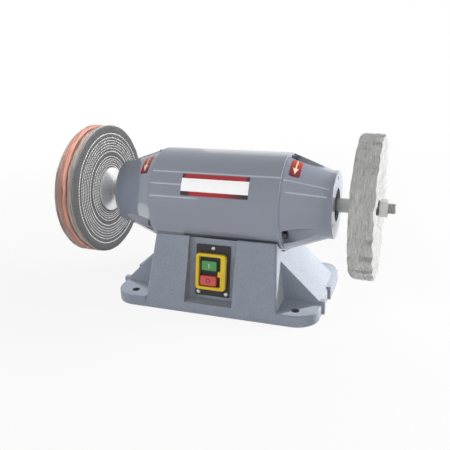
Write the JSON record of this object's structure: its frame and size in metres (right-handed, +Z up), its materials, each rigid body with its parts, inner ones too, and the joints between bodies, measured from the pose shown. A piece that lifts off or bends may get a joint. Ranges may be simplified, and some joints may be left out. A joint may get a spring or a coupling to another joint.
{
  "type": "bench polisher",
  "caption": "Double-ended bench polisher: round motor barrel with conical end caps on a cast pedestal, a stitched and a loose cotton wheel on one spindle, start and stop buttons in front",
  "frame": {"origin": "on the bench, under the middle of the base", "axes": "X along the spindle, with the stitched wheel at -X and the loose wheel at +X; -Y faces the user; Z up; metres"},
  "size_m": [0.482, 0.2, 0.247],
  "materials": {
    "housing_paint": "gloss grey paint, fine texture",
    "base_paint": "satin grey paint over a fine cast texture",
    "bright_steel": "turned and zinc plated steel",
    "dark_steel": "ground spindle steel",
    "bearing_steel": "polished bearing steel",
    "black_rubber": "matte black seal rubber",
    "black_plastic": "matte black plastic",
    "yellow_plastic": "yellow switch frame",
    "green_plastic": "green start button",
    "red_plastic": "red stop button",
    "name_plate_print": "bare plate, white with red bars",
    "arrow_print": "red sticker with a plain arrow",
    "stitched_cloth": "laminated and stitched cloth wheel",
    "loose_cotton": "loose cotton layers with frayed rim",
    "laminated_steel": "stacked motor laminations",
    "winding_copper": "enamelled copper windings",
    "cast_aluminium": "cast aluminium rotor rings",
    "grey_plastic": "pale grey plastic"
  },
  "bodies": {
    "machine": {"motor_housing": "housing_paint", "left_end_cap": "housing_paint", "right_end_cap": "housing_paint", "base_casting": "base_paint", "left_cap_screws": "bright_steel", "right_cap_screws": "bright_steel", "bottom_cover": "bright_steel", "bottom_cover_screws": "bright_steel", "housing_bolts": "bright_steel", "housing_washers": "bright_steel", "switch_screws": "bright_steel", "capacitor_clip": "bright_steel", "capacitor_clip_screw": "bright_steel", "wave_spring": "bright_steel", "start_button_spring": "bright_steel", "stop_button_spring": "bright_steel", "left_bearing_outer_ring": "bearing_steel", "right_bearing_outer_ring": "bearing_steel", "left_dust_seal": "black_rubber", "right_dust_seal": "black_rubber", "left_bearing_shields": "black_rubber", "right_bearing_shields": "black_rubber", "switch_plate": "black_plastic", "switch_body": "black_plastic", "cable_gland": "black_plastic", "cable_gland_nut": "black_plastic", "switch_frame": "yellow_plastic", "name_plate": "name_plate_print", "left_arrow_label": "arrow_print", "right_arrow_label": "arrow_print", "stator_core": "laminated_steel", "stator_windings": "winding_copper", "capacitor": "grey_plastic", "terminal_block": "grey_plastic"},
    "rotor": {"spindle": "dark_steel", "rotor_core": "laminated_steel", "rotor_end_rings": "cast_aluminium", "left_bearing_inner_ring": "bearing_steel", "right_bearing_inner_ring": "bearing_steel", "left_inner_flange": "bright_steel", "right_inner_flange": "bright_steel", "left_outer_flange": "bright_steel", "right_outer_flange": "bright_steel", "left_lock_washer": "dark_steel", "right_lock_washer": "dark_steel", "left_spindle_nut": "bright_steel", "right_spindle_nut": "bright_steel", "left_polishing_wheel": "stitched_cloth", "right_polishing_wheel": "loose_cotton"},
    "left_ball_set": {"left_bearing_balls": "bearing_steel", "left_bearing_cage": "bearing_steel"},
    "right_ball_set": {"right_bearing_balls": "bearing_steel", "right_bearing_cage": "bearing_steel"},
    "start_key": {"start_button": "green_plastic"},
    "stop_key": {"stop_button": "red_plastic"}
  },
  "joints": [
    {"name": "spindle_spin", "type": "hinge", "parent": "machine", "child": "rotor", "pos_m": [0, 0, 0.147], "axis": [1, 0, 0], "continuous": true},
    {"name": "left_cage_spin", "type": "hinge", "parent": "machine", "child": "left_ball_set", "pos_m": [-0.143, 0, 0.147], "axis": [1, 0, 0], "continuous": true},
    {"name": "right_cage_spin", "type": "hinge", "parent": "machine", "child": "right_ball_set", "pos_m": [0.1415, 0, 0.147], "axis": [1, 0, 0], "continuous": true},
    {"name": "start_button_press", "type": "slide", "parent": "machine", "child": "start_key", "axis": [0, 0.9799, -0.1994], "range_m": [0, 0.003], "stiffness_N_per_m": 400, "springref_m": -0.002, "deforming": ["start_button_spring"]},
    {"name": "stop_button_press", "type": "slide", "parent": "machine", "child": "stop_key", "axis": [0, 0.9799, -0.1994], "range_m": [0, 0.003], "stiffness_N_per_m": 400, "springref_m": -0.002, "deforming": ["stop_button_spring"]}
  ],
  "couplings": [
    {"joint": "left_cage_spin", "follows": "spindle_spin", "ratio": 0.3866},
    {"joint": "right_cage_spin", "follows": "spindle_spin", "ratio": 0.3866}
  ]
}
